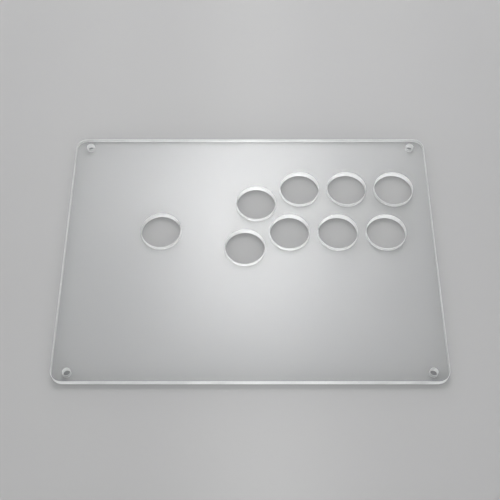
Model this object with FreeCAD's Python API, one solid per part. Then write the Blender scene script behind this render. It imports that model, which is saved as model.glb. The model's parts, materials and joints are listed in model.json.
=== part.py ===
import FreeCAD, Part
import math
import os

# Clear top panel of an arcade joystick: one flat acrylic sheet, cut to shape.
# Millimetres. +X is the player's right, +Y away from the player, +Z up out of the
# player's side of the sheet. The origin is the centre of the underside.

Vector = FreeCAD.Vector

# ---- sheet ----
WIDTH = 281.0            # along X
DEPTH = 211.0            # along Y
THICKNESS = 5.0          # along Z
CORNER_RADIUS = 8.5
EDGE_BREAK = 0.3         # 45 degree break on every cut edge, both faces

# ---- holes ----
CONTROL_HOLE_DIAMETER = 30.0   # lever and buttons
SCREW_HOLE_DIAMETER = 5.5      # clearance for M5
SCREW_SPACING_X = 258.0
SCREW_SPACING_Y = 196.0
CUTTER_OVERRUN = 1.0           # cutter height beyond each face

LEVER_CENTRE = (-68.3, 18.6)

# The first column of buttons sits nearer the player than the other three.
BACK_ROW_START = (4.7, 43.9)
FIRST_STEP = (34.1, 13.6)      # first column to second
BUTTON_PITCH = 37.0            # second column to third, third to fourth
FRONT_ROW_OFFSET = (-8.6, -39.9)   # from the back row


def button_centres():
    """Eight (x, y) centres: back row left to right, then front row left to right."""
    start_x, start_y = BACK_ROW_START
    second_x = start_x + FIRST_STEP[0]
    second_y = start_y + FIRST_STEP[1]
    back_row = [(start_x, start_y)]
    back_row += [(second_x + n * BUTTON_PITCH, second_y) for n in range(3)]
    offset_x, offset_y = FRONT_ROW_OFFSET
    front_row = [(x + offset_x, y + offset_y) for x, y in back_row]
    return back_row + front_row


def screw_centres():
    """Four (x, y) centres, anticlockwise from the front left."""
    x, y = SCREW_SPACING_X / 2, SCREW_SPACING_Y / 2
    return [(-x, -y), (x, -y), (x, y), (-x, y)]


def sheet_outline(inset, z):
    """The sheet's rounded rectangle at height z, moved in by inset all round."""
    half_width = WIDTH / 2 - inset
    half_depth = DEPTH / 2 - inset
    radius = CORNER_RADIUS - inset
    # Distance from each straight side to the middle of the corner arc.
    arc_inset = radius * (1 - math.sqrt(0.5))

    # Start, middle and end of each corner arc, anticlockwise from the front right.
    corners = []
    for side_x, side_y in ((1, -1), (1, 1), (-1, 1), (-1, -1)):
        start = Vector(side_x * (half_width - radius), side_y * half_depth, z)
        middle = Vector(side_x * (half_width - arc_inset), side_y * (half_depth - arc_inset), z)
        end = Vector(side_x * half_width, side_y * (half_depth - radius), z)
        if side_x == side_y:
            start, end = end, start
        corners.append((start, middle, end))

    edges = []
    for n, (start, middle, end) in enumerate(corners):
        previous_end = corners[n - 1][2]
        edges.append(Part.makeLine(previous_end, start))
        edges.append(Part.Arc(start, middle, end).toShape())
    return Part.Wire(edges)


def blank():
    """The sheet without holes: a straight wall between two short lofts for the edge breaks."""
    outlines = [
        sheet_outline(EDGE_BREAK, 0),
        sheet_outline(0, EDGE_BREAK),
        sheet_outline(0, THICKNESS - EDGE_BREAK),
        sheet_outline(EDGE_BREAK, THICKNESS),
    ]
    # The two flags make each loft solid and ruled.
    layers = [Part.makeLoft([lower, upper], True, True)
              for lower, upper in zip(outlines, outlines[1:])]
    return layers[0].fuse(layers[1:]).removeSplitter()


def hole_cutter(centre, diameter):
    """A turned cutter: a straight hole that flares at 45 degrees through both faces."""
    radius = diameter / 2
    # Equal radial growth and height keep the flare at 45 degrees.
    flare_radius = radius + EDGE_BREAK + CUTTER_OVERRUN
    bottom = -CUTTER_OVERRUN
    top = THICKNESS + CUTTER_OVERRUN
    # Half section: distance from the axis, height.
    profile = [
        (0, bottom),
        (flare_radius, bottom),
        (radius, EDGE_BREAK),
        (radius, THICKNESS - EDGE_BREAK),
        (flare_radius, top),
        (0, top),
        (0, bottom),
    ]
    section = Part.Face(Part.makePolygon([Vector(x, 0, z) for x, z in profile]))
    cutter = section.revolve(Vector(0, 0, 0), Vector(0, 0, 1), 360)
    cutter.translate(Vector(*centre, 0))
    return cutter


def acrylic_panel():
    """The finished sheet, with its lever, button and screw holes."""
    control_centres = [LEVER_CENTRE] + button_centres()
    cutters = [hole_cutter(centre, CONTROL_HOLE_DIAMETER) for centre in control_centres]
    cutters += [hole_cutter(centre, SCREW_HOLE_DIAMETER) for centre in screw_centres()]
    solids = blank().cut(cutters).Solids
    assert len(solids) == 1 and solids[0].isValid()
    return solids[0]


os.makedirs("parts", exist_ok=True)
acrylic_panel().exportStep("parts/acrylic_panel.step")
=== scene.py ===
"""Clear acrylic panel: a flat sheet with rounded corners, round holes and softened edges.

The sheet lies flat in its frame: long sides along X, short sides along Y, thickness along Z.
Front is -Y, left is -X. It rests just above a pale studio floor.
"""

import json
import math

import bmesh
import bpy
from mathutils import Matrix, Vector
from mathutils.geometry import delaunay_2d_cdt


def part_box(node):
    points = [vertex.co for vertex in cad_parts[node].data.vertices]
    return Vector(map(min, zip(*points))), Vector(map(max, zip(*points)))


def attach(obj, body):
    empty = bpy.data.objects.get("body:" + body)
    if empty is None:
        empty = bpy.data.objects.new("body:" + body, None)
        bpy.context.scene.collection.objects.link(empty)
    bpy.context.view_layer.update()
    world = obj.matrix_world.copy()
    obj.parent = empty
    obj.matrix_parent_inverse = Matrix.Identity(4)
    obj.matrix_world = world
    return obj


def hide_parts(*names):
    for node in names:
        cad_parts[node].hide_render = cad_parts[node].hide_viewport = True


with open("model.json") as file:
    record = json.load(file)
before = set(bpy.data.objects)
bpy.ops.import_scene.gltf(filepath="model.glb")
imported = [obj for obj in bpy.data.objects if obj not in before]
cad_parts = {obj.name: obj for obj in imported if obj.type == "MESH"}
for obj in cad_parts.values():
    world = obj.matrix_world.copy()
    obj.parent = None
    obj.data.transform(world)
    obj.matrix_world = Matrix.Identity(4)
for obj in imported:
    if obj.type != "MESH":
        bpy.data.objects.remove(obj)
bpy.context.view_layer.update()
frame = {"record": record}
MM = 0.001

# ---------------------------------------------------------------- dimensions from the frame
NODE = "acrylic_panel"
low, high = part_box(NODE)
MID_X, MID_Y = (low.x + high.x) / 2, (low.y + high.y) / 2
HALF_X, HALF_Y = (high.x - low.x) / 2, (high.y - low.y) / 2
UNDERSIDE, TOP = low.z, high.z

mounts = frame["record"]["mounts"]
# holes are (centre x, centre y, radius)
big_holes = [
    (mount["pos_m"][0], mount["pos_m"][1], mount["dims"]["r_mm"] * MM)
    for mount in mounts
    if mount["kind"] == "bore"
]
pattern = next(mount for mount in mounts if mount["kind"] == "bolt_pattern")
pattern_x, pattern_y = pattern["pos_m"][0], pattern["pos_m"][1]
half_pitch_x = pattern["dims"]["spacing_x_mm"] * MM / 2
half_pitch_y = pattern["dims"]["spacing_y_mm"] * MM / 2
small_holes = [
    (
        pattern_x + i * half_pitch_x,
        pattern_y + j * half_pitch_y,
        pattern["dims"]["hole_r_mm"] * MM,
    )
    for i, j in ((-1, -1), (1, -1), (1, 1), (-1, 1))
]

# ---------------------------------------------------------------- dimensions of the sheet mesh
CORNER_R = 8.5 * MM
BREAK_R = 0.34 * MM           # rounded break along every edge
BREAK_STEPS = 5
SUPPORT_GAP = 0.05 * MM       # from each break to the wall row that keeps the shading flat
WALL_FRACTIONS = (0.75, 0.5, 0.25)   # heights of the rows between, over the thickness

CORNER_STEPS = 24
LONG_SIDE_STEPS = 44
SHORT_SIDE_STEPS = 32
BIG_HOLE_POINTS = 120
SMALL_HOLE_POINTS = 64

# distances from a wall to the rings of quads around it on the flat faces
OUTLINE_COLLARS = (0.9 * MM, 2.2 * MM)
BIG_HOLE_COLLARS = (1.0 * MM, 2.4 * MM)
SMALL_HOLE_COLLARS = (0.7 * MM, 1.5 * MM)

FILL_PITCH = 5.5 * MM         # triangular grid between the collars
FILL_OUTLINE_GAP = 0.6        # clearance from the outline collar, in pitches
FILL_HOLE_GAP = 0.55          # clearance from the hole collars, in pitches

FACE_SLOT, CUT_SLOT = 0, 1

# corner orders of a quad (first[k], second[k], second[k + 1], first[k + 1])
FORWARD = (0, 1, 2, 3)
TURNED = (0, 3, 2, 1)
REVERSED = (3, 2, 1, 0)


# ---------------------------------------------------------------- mesh helpers
def new_object(name, data):
    ob = bpy.data.objects.new(name, data)
    bpy.context.scene.collection.objects.link(ob)
    return ob


def ring(bm, loop, z):
    return [bm.verts.new((x, y, z)) for x, y in loop]


def bridge(bm, first, second, order, smooth=False, slot=FACE_SLOT):
    """Quads between two closed rings with the same number of vertices."""
    for k in range(len(first)):
        j = (k + 1) % len(first)
        corners = (first[k], second[k], second[j], first[j])
        face = bm.faces.new([corners[i] for i in order])
        face.smooth = smooth
        face.material_index = slot


def circle_loop(centre_x, centre_y, radius, count):
    angles = [2 * math.pi * k / count for k in range(count)]
    return [(centre_x + radius * math.cos(a), centre_y + radius * math.sin(a)) for a in angles]


# ---------------------------------------------------------------- the sheet
def outline_loop(inset):
    """Rounded rectangle, counter-clockwise, the same number of points at every inset."""
    half_x, half_y, radius = HALF_X - inset, HALF_Y - inset, CORNER_R - inset
    cx, cy = half_x - radius, half_y - radius
    # corner centre, start angle of its arc, then the straight side after it: start, end, steps
    parts = (
        ((-cx, -cy), math.pi, (-cx, -half_y), (cx, -half_y), LONG_SIDE_STEPS),
        ((cx, -cy), -math.pi / 2, (half_x, -cy), (half_x, cy), SHORT_SIDE_STEPS),
        ((cx, cy), 0.0, (cx, half_y), (-cx, half_y), LONG_SIDE_STEPS),
        ((-cx, cy), math.pi / 2, (-half_x, cy), (-half_x, -cy), SHORT_SIDE_STEPS),
    )
    points = []
    for centre, first_angle, start, end, steps in parts:
        for k in range(CORNER_STEPS + 1):
            angle = first_angle + math.pi / 2 * k / CORNER_STEPS
            points.append(
                (centre[0] + radius * math.cos(angle), centre[1] + radius * math.sin(angle))
            )
        for k in range(1, steps):
            t = k / steps
            points.append(
                (start[0] + (end[0] - start[0]) * t, start[1] + (end[1] - start[1]) * t)
            )
    return [(x + MID_X, y + MID_Y) for x, y in points]


def edge_profile():
    """(inset, z) from the top rim to the underside rim: rounded break, flat wall, break."""
    upper = []
    for k in range(BREAK_STEPS + 1):
        angle = math.pi / 2 * k / BREAK_STEPS
        upper.append((BREAK_R * (1 - math.sin(angle)), TOP - BREAK_R * (1 - math.cos(angle))))
    wall = [(0.0, TOP - BREAK_R - SUPPORT_GAP)]
    wall += [(0.0, UNDERSIDE + (TOP - UNDERSIDE) * t) for t in WALL_FRACTIONS]
    wall += [(0.0, UNDERSIDE + BREAK_R + SUPPORT_GAP)]
    lower = [(inset, UNDERSIDE + (TOP - z)) for inset, z in reversed(upper)]
    return upper + wall + lower


def add_wall(bm, loop_at, collars, wall_order, top_order, underside_order):
    """A cut wall and the collars of quads beside it; loop_at gives its loop at an inset.

    Returns the last collar rings on the top and on the underside.
    """
    rows = [ring(bm, loop_at(inset), z) for inset, z in edge_profile()]
    for upper, lower in zip(rows, rows[1:]):
        bridge(bm, upper, lower, wall_order, smooth=True, slot=CUT_SLOT)
    top, underside = rows[0], rows[-1]
    for distance in collars:
        loop = loop_at(distance)
        next_top = ring(bm, loop, TOP)
        bridge(bm, top, next_top, top_order)
        next_underside = ring(bm, loop, UNDERSIDE)
        bridge(bm, underside, next_underside, underside_order)
        top, underside = next_top, next_underside
    return top, underside


def grid_points(hole_zones):
    """Points of the triangular grid that keep clear of all collars."""
    row_pitch = FILL_PITCH * math.sqrt(3) / 2
    margin = OUTLINE_COLLARS[-1] + FILL_OUTLINE_GAP * FILL_PITCH
    row_count = int(HALF_Y / row_pitch) + 1
    column_count = int(HALF_X / FILL_PITCH) + 1
    points = []
    for i in range(-row_count, row_count + 1):
        for j in range(-column_count, column_count + 1):
            x = MID_X + (j + 0.5 * (i % 2)) * FILL_PITCH
            y = MID_Y + i * row_pitch
            if abs(x - MID_X) > HALF_X - margin or abs(y - MID_Y) > HALF_Y - margin:
                continue
            if any(
                math.hypot(x - cx, y - cy) < radius + FILL_HOLE_GAP * FILL_PITCH
                for cx, cy, radius in hole_zones
            ):
                continue
            points.append(Vector((x, y)))
    return points


def needs_fill(point, hole_zones):
    """True between the collars: outside every hole zone and inside the rounded corners."""
    shrink = 0.9999   # keeps triangles that touch a collar ring
    if any(
        math.hypot(point.x - cx, point.y - cy) < radius * shrink
        for cx, cy, radius in hole_zones
    ):
        return False
    inset = OUTLINE_COLLARS[-1]
    radius = CORNER_R - inset
    past_x = abs(point.x - MID_X) - (HALF_X - inset - radius)
    past_y = abs(point.y - MID_Y) - (HALF_Y - inset - radius)
    return not (past_x > 0 and past_y > 0 and math.hypot(past_x, past_y) > radius)


def fill_face(bm, rings, z, hole_zones, flip):
    """Even triangles over the rest of a flat face, between the collars."""
    points, edges, owners = [], [], []
    for verts in rings:
        base, count = len(points), len(verts)
        points += [Vector((v.co.x, v.co.y)) for v in verts]
        owners += verts
        edges += [(base + k, base + (k + 1) % count) for k in range(count)]
    inner = grid_points(hole_zones)
    points += inner
    owners += [None] * len(inner)
    spots, _, triangles, origins, _, _ = delaunay_2d_cdt(points, edges, [], 0, 1e-9)
    verts = []
    for spot, origin in zip(spots, origins):
        existing = [owners[k] for k in origin if owners[k] is not None]
        verts.append(existing[0] if existing else bm.verts.new((spot.x, spot.y, z)))
    made = []
    for triangle in triangles:
        centre = sum((spots[k] for k in triangle), Vector((0, 0))) / len(triangle)
        if not needs_fill(centre, hole_zones):
            continue
        corners = [verts[k] for k in triangle]
        if flip:
            corners.reverse()
        face = bm.faces.new(corners)
        face.material_index = FACE_SLOT
        made.append(face)
    return made


def build_sheet_mesh():
    bm = bmesh.new()
    ring_pairs = [add_wall(bm, outline_loop, OUTLINE_COLLARS, FORWARD, REVERSED, FORWARD)]
    hole_zones = []   # (centre x, centre y, radius of the last collar)
    for holes, count, collars in (
        (big_holes, BIG_HOLE_POINTS, BIG_HOLE_COLLARS),
        (small_holes, SMALL_HOLE_POINTS, SMALL_HOLE_COLLARS),
    ):
        for cx, cy, radius in holes:
            def hole_loop(inset):
                return circle_loop(cx, cy, radius + inset, count)

            ring_pairs.append(add_wall(bm, hole_loop, collars, TURNED, FORWARD, REVERSED))
            hole_zones.append((cx, cy, radius + collars[-1]))
    tops, undersides = zip(*ring_pairs)
    made = fill_face(bm, tops, TOP, hole_zones, flip=False)
    made += fill_face(bm, undersides, UNDERSIDE, hole_zones, flip=True)
    bmesh.ops.join_triangles(
        bm, faces=made, angle_face_threshold=0.1, angle_shape_threshold=0.7
    )
    bm.normal_update()
    bmesh.ops.recalc_face_normals(bm, faces=bm.faces)
    mesh = bpy.data.meshes.new("acrylic_sheet")
    bm.to_mesh(mesh)
    bm.free()
    return mesh


# ---------------------------------------------------------------- material helpers
class Graph:
    """A new material with an output node, object coordinates and short node builders."""

    def __init__(self, name):
        self.material = bpy.data.materials.new(name)
        self.material.use_nodes = True
        self.tree = self.material.node_tree
        self.tree.nodes.clear()
        self.output = self.node("ShaderNodeOutputMaterial")
        self.coords = self.node("ShaderNodeTexCoord").outputs["Object"]

    def put(self, socket, value):
        if isinstance(value, bpy.types.NodeSocket):
            self.tree.links.new(value, socket)
        else:
            socket.default_value = value

    def node(self, kind, inputs=None, **properties):
        node = self.tree.nodes.new(kind)
        for key, value in properties.items():
            setattr(node, key, value)
        for key, value in (inputs or {}).items():
            self.put(node.inputs[key], value)
        return node

    def surface(self, shader):
        self.put(self.output.inputs["Surface"], shader)

    def math(self, operation, *values, clamp=False):
        inputs = dict(enumerate(values))
        return self.node(
            "ShaderNodeMath", inputs, operation=operation, use_clamp=clamp
        ).outputs[0]

    def linear(self, value, gain, offset):
        return self.math("ADD", self.math("MULTIPLY", value, gain), offset)

    def one_minus(self, value, gain):
        """1 - value * gain"""
        return self.math("SUBTRACT", 1.0, self.math("MULTIPLY", value, gain))

    def ramp(self, value, over, to):
        """Smooth clamped step: the range over becomes the range to."""
        inputs = dict(enumerate((value, *over, *to)))
        return self.node(
            "ShaderNodeMapRange", inputs, interpolation_type="SMOOTHSTEP", clamp=True
        ).outputs[0]

    def noise(self, vector, scale, detail=2.0, roughness=0.5):
        inputs = {"Vector": vector, "Scale": scale, "Detail": detail, "Roughness": roughness}
        return self.node("ShaderNodeTexNoise", inputs).outputs["Fac"]

    def mapping(self, scale=(1, 1, 1), rotation=(0, 0, 0), location=(0, 0, 0)):
        """Object coordinates, transformed."""
        inputs = {
            "Vector": self.coords, "Scale": scale, "Rotation": rotation, "Location": location
        }
        return self.node("ShaderNodeMapping", inputs).outputs[0]

    def length(self, vector):
        node = self.node("ShaderNodeVectorMath", {0: vector}, operation="LENGTH")
        return node.outputs["Value"]

    def bump(self, height, distance):
        inputs = {"Strength": 1.0, "Distance": distance, "Height": height}
        return self.node("ShaderNodeBump", inputs).outputs[0]

    def shader(self, kind, **inputs):
        """A closure node; an underscore in an input's name stands for a space."""
        named = {key.replace("_", " "): value for key, value in inputs.items()}
        return self.node("ShaderNodeBsdf" + kind, named).outputs[0]

    def mix(self, factor, first, second):
        return self.node("ShaderNodeMixShader", {0: factor, 1: first, 2: second}).outputs[0]

    def see_through(self, surface, colour):
        """Shadow and diffuse rays go straight through, weakened by colour."""
        path = self.node("ShaderNodeLightPath").outputs
        straight = self.math("MAXIMUM", path["Is Shadow Ray"], path["Is Diffuse Ray"])
        return self.mix(straight, surface, self.shader("Transparent", Color=colour))


# ---------------------------------------------------------------- acrylic materials
IOR = 1.491
WHITE = (1, 1, 1, 1)


def hairlines(g):
    """Hairlines in three directions, thin slices of a stretched noise, in patches."""
    stretch = (7.0, 85.0, 1.0)
    middle = 0.5        # noise level at which a slice is taken
    hair = None
    for angle, seed in ((0.5, 3.1), (-0.9, 7.7), (1.35, 12.3)):
        streaks = g.mapping(scale=stretch, rotation=(0, 0, angle), location=(seed, seed * 2, 0))
        level = g.noise(streaks, scale=1.0, detail=1.0)
        off_middle = g.math("ABSOLUTE", g.math("SUBTRACT", level, middle))
        line = g.ramp(off_middle, over=(0.0, 0.004), to=(1.0, 0.0))
        spread = g.noise(g.mapping(location=(seed, 0, 0)), scale=30.0, detail=1.0)
        patch = g.ramp(spread, over=(0.52, 0.7), to=(0.0, 1.0))
        one = g.math("MULTIPLY", line, patch)
        hair = one if hair is None else g.math("MAXIMUM", hair, one)
    return hair


def dust_specks(g):
    """Mask of sparse dust specks, each well under half a millimetre."""
    max_radius = 0.016   # in Voronoi cells
    threshold = 0.7      # cells with a random value above this carry a speck
    opacity = 0.4
    cells = g.node(
        "ShaderNodeTexVoronoi", {"Vector": g.coords, "Scale": 120.0}, feature="F1"
    ).outputs
    random = g.node("ShaderNodeSeparateColor", {0: cells["Color"]}).outputs
    size = g.math("MULTIPLY", random[0], max_radius)
    speck = g.math("LESS_THAN", cells["Distance"], size)
    speck = g.math("MULTIPLY", speck, g.math("GREATER_THAN", random[1], threshold))
    return g.math("MULTIPLY", speck, opacity)


def acrylic_face():
    """Glossy faces: faint waviness, soft haze over the gloss, hairlines, a little dust."""
    g = Graph("clear_acrylic_face")
    wave = g.noise(g.coords, scale=26.0, detail=1.0, roughness=0.4)
    normal = g.bump(wave, distance=0.00009)
    hair = hairlines(g)
    cloud = g.noise(g.coords, scale=16.0, detail=3.0, roughness=0.55)
    bloom = g.ramp(cloud, over=(0.35, 0.72), to=(0.0, 1.0))

    def glossy(gain, offset):
        """A reflection whose roughness rises with the bloom."""
        node = g.node("ShaderNodeBsdfGlossy", {"Color": WHITE, "Normal": normal})
        node.distribution = "GGX"
        g.put(node.inputs["Roughness"], g.linear(bloom, gain=gain, offset=offset))
        return node.outputs[0]

    below = g.node(
        "ShaderNodeBsdfRefraction",
        {
            "Color": (0.966, 0.969, 0.969, 1),
            "IOR": IOR,
            "Roughness": g.linear(hair, gain=0.05, offset=0.012),
            "Normal": normal,
        },
        distribution="GGX",
    ).outputs[0]
    gloss = glossy(gain=0.05, offset=0.05)
    haze = glossy(gain=0.025, offset=0.235)
    # share of haze in the reflection: a base, more under bloom and hairlines
    bloom_gain = 0.08
    haze_share = g.math(
        "ADD",
        g.math("MULTIPLY", bloom, bloom_gain),
        g.linear(hair, gain=0.2, offset=0.78),
        clamp=True,
    )
    fresnel = g.node("ShaderNodeFresnel", {"IOR": IOR, "Normal": normal}).outputs[0]
    # near grazing the haze gives way to the clearer gloss
    steep = g.ramp(fresnel, over=(0.05, 0.16), to=(1.0, 0.0))
    haze_share = g.math("MULTIPLY", haze_share, steep)
    glass = g.mix(fresnel, below, g.mix(haze_share, gloss, haze))
    dust = g.shader("Diffuse", Color=(0.86, 0.86, 0.85, 1))
    surface = g.mix(dust_specks(g), glass, dust)
    g.surface(g.see_through(surface, colour=(0.935, 0.938, 0.938, 1)))
    return g.material


def acrylic_cut():
    """Cut walls and edge breaks: satin, with fine tool marks that run through the thickness."""
    g = Graph("clear_acrylic_cut_edge")
    through = g.mapping(scale=(1, 1, 0.04))
    marks = g.noise(through, scale=1150.0)
    drift = g.noise(through, scale=60.0)
    normal = g.bump(marks, distance=0.000003)
    tone = g.math(
        "MULTIPLY",
        g.ramp(marks, over=(0.3, 0.7), to=(0.93, 0.99)),
        g.ramp(drift, over=(0.3, 0.7), to=(0.96, 1.0)),
    )
    tint = (0.992, 0.998, 1.0)
    drift_range = (0.35, 0.65)

    def frosted(kind):
        channels = {k: g.math("MULTIPLY", tone, share) for k, share in enumerate(tint)}
        colour = g.node("ShaderNodeCombineColor", channels).outputs[0]
        return g.shader(kind, Color=colour, Normal=normal)

    clear = g.shader(
        "Principled",
        Base_Color=(0.965, 0.975, 0.978, 1),
        Transmission_Weight=1.0,
        IOR=IOR,
        Roughness=g.ramp(drift, over=drift_range, to=(0.29, 0.35)),
        Normal=normal,
    )
    translucent_share = 0.4
    frost = g.mix(translucent_share, frosted("Diffuse"), frosted("Translucent"))
    frost_share = g.ramp(drift, over=drift_range, to=(0.4, 0.48))
    surface = g.mix(frost_share, clear, frost)
    g.surface(g.see_through(surface, colour=(0.42, 0.43, 0.43, 1)))
    return g.material


sheet_mesh = build_sheet_mesh()
sheet = new_object("clear_acrylic_sheet", sheet_mesh)
sheet_mesh.materials.append(acrylic_face())
sheet_mesh.materials.append(acrylic_cut())
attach(sheet, "root")
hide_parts(NODE)


# ---------------------------------------------------------------- stage: seamless pale bowl
FLOOR_GAP = 0.15 * MM       # between the floor and the underside of the sheet
FLOOR_RADII = (0.25, 0.6, 1.0, 1.7, 2.6)   # rings of the flat part
FLOOR_POINTS = 96
BEND_R = 1.7
BEND_STEPS = 24
BOWL_WALL_H = 1.5


def floor_mesh():
    floor_z = UNDERSIDE - FLOOR_GAP
    flat_r = FLOOR_RADII[-1]
    profile = [(radius, floor_z) for radius in FLOOR_RADII]
    for k in range(1, BEND_STEPS + 1):
        angle = math.pi / 2 * k / BEND_STEPS
        profile.append(
            (flat_r + BEND_R * math.sin(angle), floor_z + BEND_R * (1 - math.cos(angle)))
        )
    profile.append((flat_r + BEND_R, floor_z + BEND_R + BOWL_WALL_H))
    bm = bmesh.new()
    centre = bm.verts.new((0, 0, floor_z))
    rows = [ring(bm, circle_loop(0, 0, radius, FLOOR_POINTS), z) for radius, z in profile]
    for k in range(FLOOR_POINTS):
        face = bm.faces.new((centre, rows[0][k], rows[0][(k + 1) % FLOOR_POINTS]))
        face.smooth = True
    for inner, outer in zip(rows, rows[1:]):
        bridge(bm, inner, outer, FORWARD, smooth=True)
    mesh = bpy.data.meshes.new("studio_floor")
    bm.to_mesh(mesh)
    bm.free()
    return mesh


def pale_floor():
    """Matt floor that turns into a softly glowing sweep away from the sheet."""
    g = Graph("pale_floor")
    radius = g.length(g.mapping(scale=(1, 1, 0)))
    sweep = g.ramp(radius, over=(0.27, 0.78), to=(0.0, 1.0))
    mottle = g.noise(g.coords, scale=3.0, detail=3.0)
    tone = g.ramp(mottle, over=(0.3, 0.7), to=(0.36, 0.368))
    tone = g.math("MULTIPLY", tone, g.one_minus(sweep, gain=0.97))
    glow = 0.475   # emission strength of the full sweep
    g.surface(g.shader(
        "Principled",
        Base_Color=g.node("ShaderNodeCombineColor", {0: tone, 1: tone, 2: tone}).outputs[0],
        Roughness=0.8,
        Specular_IOR_Level=0.0,
        Emission_Color=WHITE,
        Emission_Strength=g.math("MULTIPLY", sweep, glow),
    ))
    g.material.cycles.emission_sampling = "NONE"
    return g.material


floor = new_object("studio_floor", floor_mesh())
floor.data.materials.append(pale_floor())


# ---------------------------------------------------------------- light
def point_at(ob, place, target, axis):
    """Puts an object at place with its local axis towards target."""
    place = Vector(place)
    ob.location = place
    ob.rotation_mode = "QUATERNION"
    ob.rotation_quaternion = (Vector(target) - place).to_track_quat(axis, "Y")


def softbox_material(name, size, edge, core, core_r, hot_xy, mirrored):
    g = Graph(name)
    offset = g.mapping(
        scale=(1 / core_r[0], 1 / core_r[1], 1),
        location=(-hot_xy[0] / core_r[0], -hot_xy[1] / core_r[1], 0),
    )
    distance = g.length(offset)
    squared = g.math("MULTIPLY", distance, distance)
    glow = g.math("EXPONENT", g.math("MULTIPLY", squared, -1.0))
    strength = g.linear(glow, gain=core - edge, offset=edge)
    axes = g.node("ShaderNodeSeparateXYZ", {0: g.coords}).outputs
    for k, side in enumerate(size):
        from_centre = g.math("ABSOLUTE", axes[k])
        fade = g.ramp(from_centre, over=(side * 0.3, side * 0.5), to=(1.0, 0.0))
        strength = g.math("MULTIPLY", strength, fade)
    sharp = g.node("ShaderNodeLightPath").outputs["Is Glossy Ray"]
    strength = g.math("MULTIPLY", strength, g.one_minus(sharp, gain=1.0 - mirrored))
    # the glow is added to whatever is behind, so a faded border never reflects as a dark shape
    back = g.node("ShaderNodeNewGeometry").outputs["Backfacing"]
    strength = g.math("MULTIPLY", strength, g.math("SUBTRACT", 1.0, back))
    emission = g.node("ShaderNodeEmission", {"Strength": strength}).outputs[0]
    behind = g.node("ShaderNodeBsdfTransparent").outputs[0]
    g.surface(g.node("ShaderNodeAddShader", {0: emission, 1: behind}).outputs[0])
    return g.material


def softbox(name, centre, target, size, edge, core, core_r, mirrored, hot_xy=(0.0, 0.0)):
    """A flat glowing panel of size (width, height), lit on the side facing target.

    Its glow falls from core at hot_xy to edge beyond core_r (x and y on the panel) and fades
    out at its borders. mirrored: how much of it glossy rays see.
    """
    x, y = size[0] / 2, size[1] / 2
    mesh = bpy.data.meshes.new(name)
    mesh.from_pydata([(-x, -y, 0), (x, -y, 0), (x, y, 0), (-x, y, 0)], [], [(0, 1, 2, 3)])
    ob = new_object(name, mesh)
    point_at(ob, centre, target, "Z")
    mesh.materials.append(softbox_material(name, size, edge, core, core_r, hot_xy, mirrored))
    ob.visible_camera = False


CAMERA_PITCH = math.radians(59.54)   # downward tilt of the view
VIEW_TARGET = Vector((0.0, 0.0005, TOP))
MIRROR_DIRECTION = Vector((0, math.cos(CAMERA_PITCH), math.sin(CAMERA_PITCH)))
OVERHEAD_DISTANCE = 1.3

# The overhead box stands where the camera sees it mirrored in the sheet, for a soft sheen.
# All boxes are dimmed in sharp reflections, so that the sheet still looks clear.
softbox(
    "overhead_softbox",
    centre=VIEW_TARGET + MIRROR_DIRECTION * OVERHEAD_DISTANCE,
    target=VIEW_TARGET,
    size=(0.56, 0.72),
    edge=0.0,
    core=46.0,
    core_r=(0.12, 0.175),
    hot_xy=(0.0, -0.05),
    mirrored=0.06,
)
# name, centre, width, edge glow, core glow, core radius along the width
for side_name, centre, width, edge, core, core_width in (
    ("front", (0.0, -2.2, 1.0), 2.7, 1.8, 4.1, 0.8),
    ("back", (0.0, 2.3, 1.0), 2.7, 1.8, 4.1, 0.8),
    ("left", (-2.2, 0.15, 1.2), 2.0, 1.4, 2.8, 0.65),
    ("right", (2.2, 0.3, 1.1), 2.0, 1.3, 2.5, 0.65),
):
    softbox(
        f"{side_name}_softbox",
        centre=centre,
        target=(0, 0, 0),
        size=(width, 1.5),
        edge=edge,
        core=core,
        core_r=(core_width, 0.65),
        mirrored=0.4,
    )


def accent(name, place, target, power, spread):
    """A low, narrow, soft beam (spread in degrees) that grazes the floor and lights an edge."""
    lamp = bpy.data.lights.new(name, "SPOT")
    lamp.energy = power
    lamp.spot_size = math.radians(spread)
    lamp.spot_blend = 1.0
    lamp.shadow_soft_size = 0.05
    ob = new_object(name, lamp)
    point_at(ob, place, target, "-Z")
    ob.visible_glossy = False
    ob.visible_transmission = False


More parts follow.
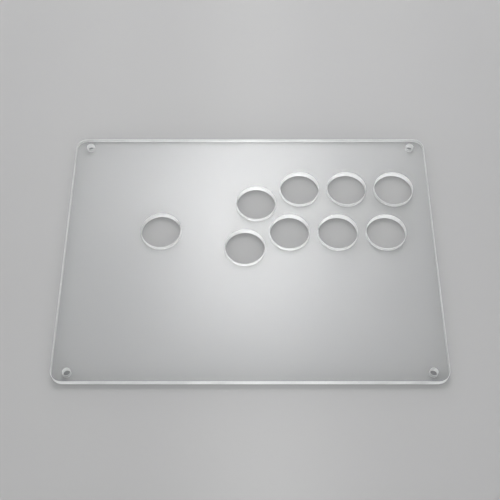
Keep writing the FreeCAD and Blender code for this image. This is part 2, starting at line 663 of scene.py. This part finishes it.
# the long edges are lit in their middle and again near their ends
FRONT_Y, FRONT_Z = -1.25, 0.2
BACK_Y, BACK_Z = 1.3, 0.22
# name, place, target, power, spread
accents = [
    ("front_accent", (0.02, FRONT_Y, FRONT_Z), (0.014, -HALF_Y, 0.0), 54.0, 9.0),
    ("back_accent", (0.02, BACK_Y, BACK_Z), (0.0, HALF_Y, 0.0), 42.0, 6.5),
]
for tag, side in (("left", -1), ("right", 1)):
    accents += [
        (f"front_{tag}_accent", (side * 0.2, FRONT_Y, FRONT_Z),
         (side * 0.137, -HALF_Y, 0.0), 26.0, 4.5),
        (f"back_{tag}_accent", (side * 0.16, BACK_Y, BACK_Z),
         (side * 0.112, HALF_Y, 0.0), 30.0, 5.0),
    ]
for name, place, target, power, spread in accents:
    accent(name, place, target, power=power, spread=spread)

scene = bpy.context.scene
world = bpy.data.worlds.new("studio")
scene.world = world
world.use_nodes = True
background = world.node_tree.nodes["Background"]
background.inputs["Color"].default_value = (0.985, 0.99, 1.0, 1)
background.inputs["Strength"].default_value = 0.32

# ---------------------------------------------------------------- camera, above the front
CAMERA_DISTANCE = 0.69206
camera_data = bpy.data.cameras.new("camera")
camera_data.lens = 65.94
camera_data.sensor_width = 36.0
camera_data.clip_start = 0.01
# the shifts centre the sheet in the view
camera_data.shift_x = -0.0003
camera_data.shift_y = 0.0011
camera = new_object("camera", camera_data)
view_back = Vector((0, -math.cos(CAMERA_PITCH), math.sin(CAMERA_PITCH)))
camera.location = VIEW_TARGET + view_back * CAMERA_DISTANCE
camera.rotation_euler = (math.pi / 2 - CAMERA_PITCH, 0, 0)
scene.camera = camera

scene.view_settings.view_transform = "Standard"
scene.view_settings.look = "None"
scene.view_settings.exposure = 0.0
# enough bounces for light to pass the sheet's walls and faces several times
scene.cycles.max_bounces = 24
scene.cycles.transmission_bounces = 24
scene.cycles.glossy_bounces = 12
scene.cycles.diffuse_bounces = 6
scene.cycles.transparent_max_bounces = 24
scene.cycles.sample_clamp_indirect = 12.0
